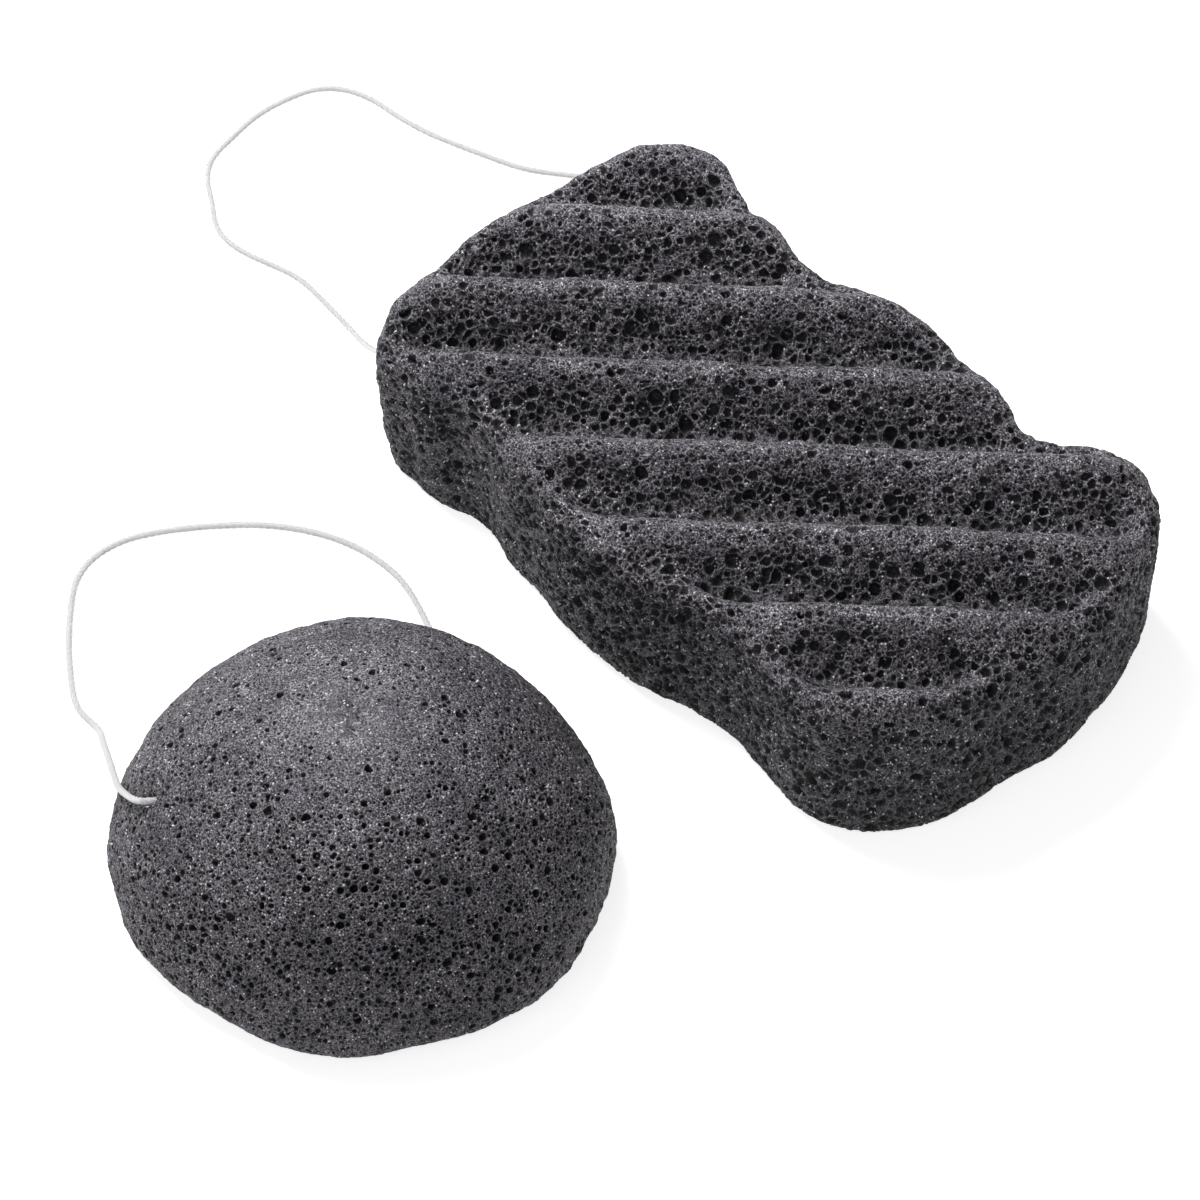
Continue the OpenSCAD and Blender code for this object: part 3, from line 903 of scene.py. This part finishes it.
def body_sponge():
    """The long sponge: shut and pale on its crests and far edge, open in its grooves. The far
    edge's paleness is painted light, and painted shade darkens its grooves, walls and foot.
    """
    points, normals, quads, read = fine_skin(
        "body", *body_form(), BODY_VOXEL, BODY_CELLS, BODY_SWAY
    )
    plan, z = points[:, :2], points[:, 2]
    edge = inset_read(plan)
    topside = np.clip((normals[:, 2] - 0.1) / 0.4, 0, 1) * (z > TOP_H)
    # A band round the top edge, strongest on the far side, is shut skin and paler; the paleness
    # is painted light shining through the thin foam there
    rim = topside * eased((EDGE_FROM - edge) / EDGE_OVER)
    rim = rim * (0.2 + 0.8 * eased((plan[:, 1] + 12) / 30))
    crest = topside * eased((0.62 - groove_share(plan)) / 0.5)
    crest = np.clip(crest + 0.55 * rim, 0, 1.25)
    patchy = soft_noise(points, *BODY_PATCHES)
    coarse = 1.1 - 0.82 * crest - 0.1 * (1 - topside) + 0.3 * patchy
    fine = 1.15 - 0.35 * crest + 0.15 * patchy
    mouth = mouths(points, [body_bend.a, body_bend.b])
    depth = opened(BODY_CELLS, read, coarse, fine) + MOUTH_DEEP * mouth
    # Painted shade: darker along the bottom of each groove, on the walls and towards the table
    off = (plan @ ACROSS - RIDGE_SHIFT + RIDGE_PITCH / 2) % RIDGE_PITCH - RIDGE_PITCH / 2
    painted_valley_shade = topside * eased(edge / RIDGE_FADE) * hump(off, VALLEY_WIDE)
    tone = (
        patches(points, BODY_TONES) * (0.84 - WALL_PAINTED_SHADE * (1 - topside))
        * (1 - VALLEY_PAINTED_SHADE * painted_valley_shade) * (0.72 + 0.28 * eased(z / SHADE_H))
    )
    values = {"coarse": coarse, "fine": fine, "shut": crest, "mouth": mouth, "tone": tone}
    rough, swell = layered_noise(points, BODY_ROUGH), layered_noise(points, BODY_SWELL)
    sink = sinking(points, depth, rough, swell)
    return foam_object(
        "body_foam", points, normals, quads, sink, values, body_map, BODY_AT, BODY_TURN
    )


face_foam = face_sponge()
body_foam = body_sponge()


def cord_pieces(prefix, bend, route, at, turn, full):
    """A sponge's cord: the free loop, the stretch inside the foam and the knot, and then the
    free loop's path, length and start."""
    start, out = bend.point(-bend.reach), -bend.heading(-bend.reach)
    knot_start, knot_way = bend.point(bend.reach), bend.heading(bend.reach)
    end = knot_start + knot_way * KNOT_L
    free = [start, start + out * STRAIGHT]
    free += [np.array(p) + [0, 0, CORD_D / 2] for p in route]
    free += [end + knot_way * STRAIGHT, end]
    path = on_table(resampled(free, PATH_STEP), at, turn)
    line = on_table(rounded(resampled(free, LINE_STEP), CORNER_EASE), at, turn)
    line[:, 2] = np.maximum(line[:, 2], LEAST_H * CORD_D * full)
    run = float(np.linalg.norm(np.diff(line, axis=0), axis=1).sum())
    loop = mesh_object(prefix + "_cord", *twisted(line, full))
    angles = np.linspace(-bend.reach, bend.reach, HELD_STEPS)
    held = on_table(np.array([bend.point(t) for t in angles]), at, turn)
    inside = mesh_object(prefix + "_cord_inside", *twisted(held, full))

    # The knot: an overhand knot round a straight stretch of the cord, with two short tails
    t = np.linspace(0, 2 * math.pi, KNOT_STEPS)
    side = unit(np.cross(knot_way, [0, 0, 1.0]))
    high = np.cross(side, knot_way)
    middle = knot_start + knot_way * KNOT_L / 2
    across = (np.sin(t) + 2 * np.sin(2 * t)) * KNOT_ACROSS
    up = (np.cos(t) - 2 * np.cos(2 * t)) * KNOT_ACROSS
    along = -np.sin(3 * t) * 0.5
    wound = middle + across[:, None] * side + up[:, None] * high
    wound = wound + along[:, None] * knot_way * KNOT_ALONG
    straight = knot_start + knot_way * np.linspace(0, KNOT_L, CORE_STEPS)[:, None]
    parts = [
        twisted(on_table(wound, at, turn), TAIL_FULL, KNOT_LAY),
        twisted(on_table(straight, at, turn), full),
    ]
    for sign in (-1, 1):
        tail = [middle + side * sign * a + high * b + knot_way * c for a, b, c in TAIL]
        parts.append(twisted(on_table(resampled(tail, LINE_STEP), at, turn), TAIL_FULL))
    firsts = np.cumsum([0] + [len(points) for points, _ in parts])
    knot = mesh_object(
        prefix + "_knot",
        np.vstack([points for points, _ in parts]),
        np.vstack([tris + first for (_, tris), first in zip(parts, firsts)]),
    )
    return loop, inside, knot, path, run, line[0]


face_cord, face_cord_inside, face_knot, face_path, face_run, face_start = cord_pieces(
    "face", face_bend, FACE_ROUTE, FACE_AT, 0.0, FACE_CORD_FULL
)
body_cord, body_cord_inside, body_knot, body_path, body_run, body_start = cord_pieces(
    "body", body_bend, BODY_ROUTE, BODY_AT, BODY_TURN, BODY_CORD_FULL
)


def material(name):
    """A new material, its node tree and its shader."""
    made = bpy.data.materials.new(name)
    made.use_nodes = True
    tree = made.node_tree
    return made, tree, tree.nodes["Principled BSDF"]


def ramp(tree, source, stops):
    """A colour ramp with two or more stops: place and colour."""
    made = node(tree, "ShaderNodeValToRGB")
    band = made.color_ramp.elements
    band[0].position, band[0].color = stops[0]
    band[1].position, band[1].color = stops[-1]
    for place, colour in stops[1:-1]:
        band.new(place).color = colour
    tree.links.new(source, made.inputs["Fac"])
    return made.outputs["Color"]


def grey(v):
    """The foam's own grey at a screen level of 0 to 255, as a linear colour."""
    lin = (v / 255 / 12.92) if v < 10 else ((v / 255 + 0.055) / 1.055) ** 2.4
    return (lin * FOAM_TINT[0], lin * FOAM_TINT[1], lin * FOAM_TINT[2], 1.0)


def brightened(colour, by):
    """The colour times a number."""
    return tuple(by * v for v in colour[:3]) + (1.0,)


def step_up(tree, value, low, high, kind="SMOOTHSTEP"):
    """0 below low, 1 above high, eased between."""
    limits = {"From Min": low, "From Max": high}
    made = node(tree, "ShaderNodeMapRange", interpolation_type=kind, **limits)
    tree.links.new(value, made.inputs["Value"])
    return made.outputs["Result"]


def mixed(tree, share, first, second, kind="MIX"):
    """The first colour turned into the second by a share of 0 to 1, or times the second."""
    made = node(tree, "ShaderNodeMix", data_type="RGBA", blend_type=kind)
    for k, value in ((0, share), (6, first), (7, second)):
        feed(tree, made.inputs[k], value)
    return made.outputs[2]


def foam_material(name, cells, sway, net_size, rim_wide, fill, lines, skin_tone, dark):
    """Foam: light struts and rims on a darker fill, and dark mouths with a dim net inside.

    net_size is the size of the finest net, rim_wide the width of a mouth's rim. The colours
    are the fill, the struts, the fill where the skin is shut, and the mouths."""
    made, tree, shader = material(name)
    links = tree.links

    def stored(key, out="Fac"):
        return node(tree, "ShaderNodeAttribute", attribute_name=key).outputs[out]

    def times(a, b):
        return maths(tree, "MULTIPLY", a, b)

    def scaled(value, by, plus):
        return maths(tree, "MULTIPLY_ADD", value, by, plus)

    def minus(a, b):
        return maths(tree, "SUBTRACT", a, b)

    def most(a, b):
        return maths(tree, "MAXIMUM", a, b)

    rest, coarse, fine = stored("rest", "Vector"), stored("coarse"), stored("fine")
    # broad is the stored tone, which on the long sponge carries its painted shade and painted
    # light
    shut, entry, broad = stored("shut"), stored("mouth"), stored("tone")
    where = warped(tree, rest, sway)
    grain = textured(tree, NOISE, rest, **GRAIN_NOISE)
    grainy = step_up(tree, grain.outputs["Fac"], *GRAIN_STEP, "LINEAR")

    # The mouths and their rims, from the largest cells to the smallest
    hole, rim, film = None, None, None
    for c, weight, bright in zip(cells, MOUTH_WEIGHTS, RIM_WEIGHTS):
        near, colour, edge = cell_nodes(tree, where, c)
        draw = node(tree, "ShaderNodeSeparateColor")
        links.new(colour, draw.inputs[0])
        share = times(coarse if c.name in "ab" else fine, c.share)
        is_open = maths(tree, "LESS_THAN", draw.outputs[1], share)
        mouth = scaled(draw.outputs[0], c.high - c.low, c.low)
        inside = minus(mouth, times(near, c.size))
        if edge is not None:
            inside = maths(tree, "MINIMUM", inside, minus(times(edge, c.size), c.wall))
        inside = minus(inside, times(minus(1.0, is_open), SHUT_OFF))
        here = times(step_up(tree, inside, *MOUTH_STEP), weight)
        rim_here = times(step_up(tree, inside, -rim_wide, RIM_END), minus(1.0, here))
        rim_here = times(rim_here, scaled(draw.outputs[2], *RIM_SHARE))
        if hole is None:
            hole, rim, film = here, rim_here, draw.outputs[2]
        else:
            free = times(here, minus(1.0, rim))
            hole = most(hole, free)
            film = maths(tree, "ADD", times(film, minus(1.0, free)), times(free, draw.outputs[2]))
            rim = most(rim, times(rim_here, bright))

    # The skin between them: the finest net of struts, loose threads, and the rims
    web = textured(tree, VORONOI, where, feature="DISTANCE_TO_EDGE", Scale=1.0 / net_size)
    net = minus(1.0, step_up(tree, web.outputs["Distance"], *NET_STEP))
    skin = times(net, scaled(grainy, *NET_GRAIN))
    skin = most(skin, times(grainy, SKIN_GRAIN))
    wisp = textured(tree, NOISE, where, **WISP_NOISE)
    off = maths(tree, "ABSOLUTE", minus(wisp.outputs["Fac"], 0.5))
    thread = minus(1.0, step_up(tree, off, *THREAD_STEP))
    skin = most(skin, times(thread, scaled(grainy, *THREAD_GRAIN)))
    skin = most(skin, times(rim, scaled(grainy, *RIM_GRAIN)))

    tone = mixed(tree, skin, mixed(tree, shut, fill, skin_tone), lines)
    deepest, deep, dim = (brightened(dark, by) for by in MOUTH_TONES)
    inner = mixed(tree, times(net, grainy), mixed(tree, film, deepest, deep), dim)
    tone = mixed(tree, most(hole, times(entry, ENTRY_SHARE)), tone, inner)

    # Painted glints: bright points painted into the base colour, alone and in clusters, and less
    # rough there
    cloud = textured(tree, NOISE, rest, **CLOUD_NOISE)
    spark = textured(tree, VORONOI, rest, feature="F1", Scale=1 / SPARK_SIZE)
    chance = node(tree, "ShaderNodeSeparateColor")
    links.new(spark.outputs["Color"], chance.inputs[0])
    cluster = step_up(tree, cloud.outputs["Fac"], *CLUSTER_STEP)
    chosen = step_up(tree, scaled(cluster, CLUSTER_SHARE, chance.outputs[2]), *CHANCE_STEP)
    painted_glint = times(chosen, minus(1.0, step_up(tree, spark.outputs["Distance"], *SPARK_STEP)))

    tone = mixed(tree, 1.0, tone, ramp(tree, cloud.outputs["Fac"], CLOUD_STOPS), "MULTIPLY")
    broader = node(tree, VECTOR_MATHS, operation="SCALE")
    links.new(tone, broader.inputs[0])
    links.new(broad, broader.inputs["Scale"])
    # The painted glints go on last, over all the tones
    tone = mixed(tree, painted_glint, broader.outputs[0], grey(PAINTED_GLINT_LEVEL))
    links.new(tone, shader.inputs["Base Color"])
    bump = node(tree, "ShaderNodeBump", Strength=1.0, Distance=FOAM_BUMP_M)
    links.new(grain.outputs["Fac"], bump.inputs["Height"])
    links.new(bump.outputs["Normal"], shader.inputs["Normal"])
    wet = minus(FOAM_ROUGH, times(painted_glint, SPARK_SMOOTH))
    links.new(minus(wet, times(skin, STRUT_SMOOTH)), shader.inputs["Roughness"])
    shader.inputs["Specular IOR Level"].default_value = FOAM_GLOSS
    return made


def cotton_material():
    """White cotton with a fine nap, which lets some light through."""
    made, tree, shader = material("white_cotton")
    links = tree.links
    place = node(tree, "ShaderNodeTexCoord").outputs["Object"]
    fibre = textured(tree, NOISE, place, **FIBRE_NOISE)
    for stops, key in ((COTTON_STOPS, "Base Color"), (COTTON_ROUGH, "Roughness")):
        links.new(ramp(tree, fibre.outputs["Fac"], stops), shader.inputs[key])
    bump = node(tree, "ShaderNodeBump", Strength=0.5, Distance=COTTON_BUMP_M)
    links.new(fibre.outputs["Fac"], bump.inputs["Height"])
    links.new(bump.outputs["Normal"], shader.inputs["Normal"])
    for key, value in COTTON_FINISH.items():
        shader.inputs[key].default_value = value
    return made


face_foam.data.materials.append(foam_material(
    "charcoal_foam_face", FACE_CELLS, FACE_SWAY, net_size=0.68, rim_wide=0.2,
    fill=grey(17), lines=grey(226), skin_tone=grey(99), dark=grey(37),
))
body_foam.data.materials.append(foam_material(
    "charcoal_foam_body", BODY_CELLS, BODY_SWAY, net_size=0.75, rim_wide=0.15,
    fill=grey(14), lines=grey(226), skin_tone=grey(48), dark=grey(48),
))
cotton = cotton_material()
for piece in (face_cord, face_cord_inside, face_knot, body_cord, body_cord_inside, body_knot):
    piece.data.materials.append(cotton)

# The floor is pale and glows a little, so that it stays nearly white with a faint shadow
corners = np.array([[-1, -1, 0], [1, -1, 0], [1, 1, 0], [-1, 1, 0]]) * FLOOR_HALF
floor = mesh_object("floor", corners, [[0, 1, 2, 3]])
made, tree, shader = material("pale_floor")
links = tree.links
tree.nodes.remove(shader)
plain = node(tree, "ShaderNodeBsdfDiffuse", Color=(0.88, 0.88, 0.88, 1))
glow = node(tree, "ShaderNodeEmission", Color=(1, 1, 1, 1))
rays = node(tree, "ShaderNodeLightPath").outputs
seen = maths(tree, "MAXIMUM", rays["Is Camera Ray"], rays["Is Glossy Ray"])
seen = maths(tree, "MAXIMUM", seen, rays["Is Transmission Ray"])
links.new(maths(tree, "MULTIPLY", seen, FLOOR_GLOW), glow.inputs["Strength"])
both = node(tree, "ShaderNodeAddShader")
links.new(plain.outputs[0], both.inputs[0])
links.new(glow.outputs[0], both.inputs[1])
links.new(both.outputs[0], tree.nodes["Material Output"].inputs["Surface"])
floor.data.materials.append(made)

for name, place, side, power in LAMPS:
    lamp = bpy.data.lights.new(name, "AREA")
    lamp.shape = "SQUARE"
    lamp.size = side
    lamp.energy = power
    stand = bpy.data.objects.new(name, lamp)
    stand.location = place
    stand.rotation_euler = (-Vector(place)).to_track_quat("-Z", "Y").to_euler()
    bpy.context.collection.objects.link(stand)

world = bpy.data.worlds.new("room")
bpy.context.scene.world = world
world.use_nodes = True
sky = world.node_tree.nodes["Background"]
sky.inputs["Color"].default_value = (1, 1, 1, 1)
sky.inputs["Strength"].default_value = SKY_LEVEL
bpy.context.scene.view_settings.view_transform = "Standard"

# What each piece stands for
FACE_BODY = "face_sponge_with_cord"
BODY_BODY = "body_sponge_with_cord"
for prefix, body, pieces in (
    ("face", FACE_BODY, (face_foam, face_cord, face_cord_inside, face_knot)),
    ("body", BODY_BODY, (body_foam, body_cord, body_cord_inside, body_knot)),
):
    nodes = ("_sponge", "_cord_loop", "_cord_threaded", "_cord_knot")
    for piece, end in zip(pieces, nodes):
        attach(piece, body)
        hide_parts(prefix + end)
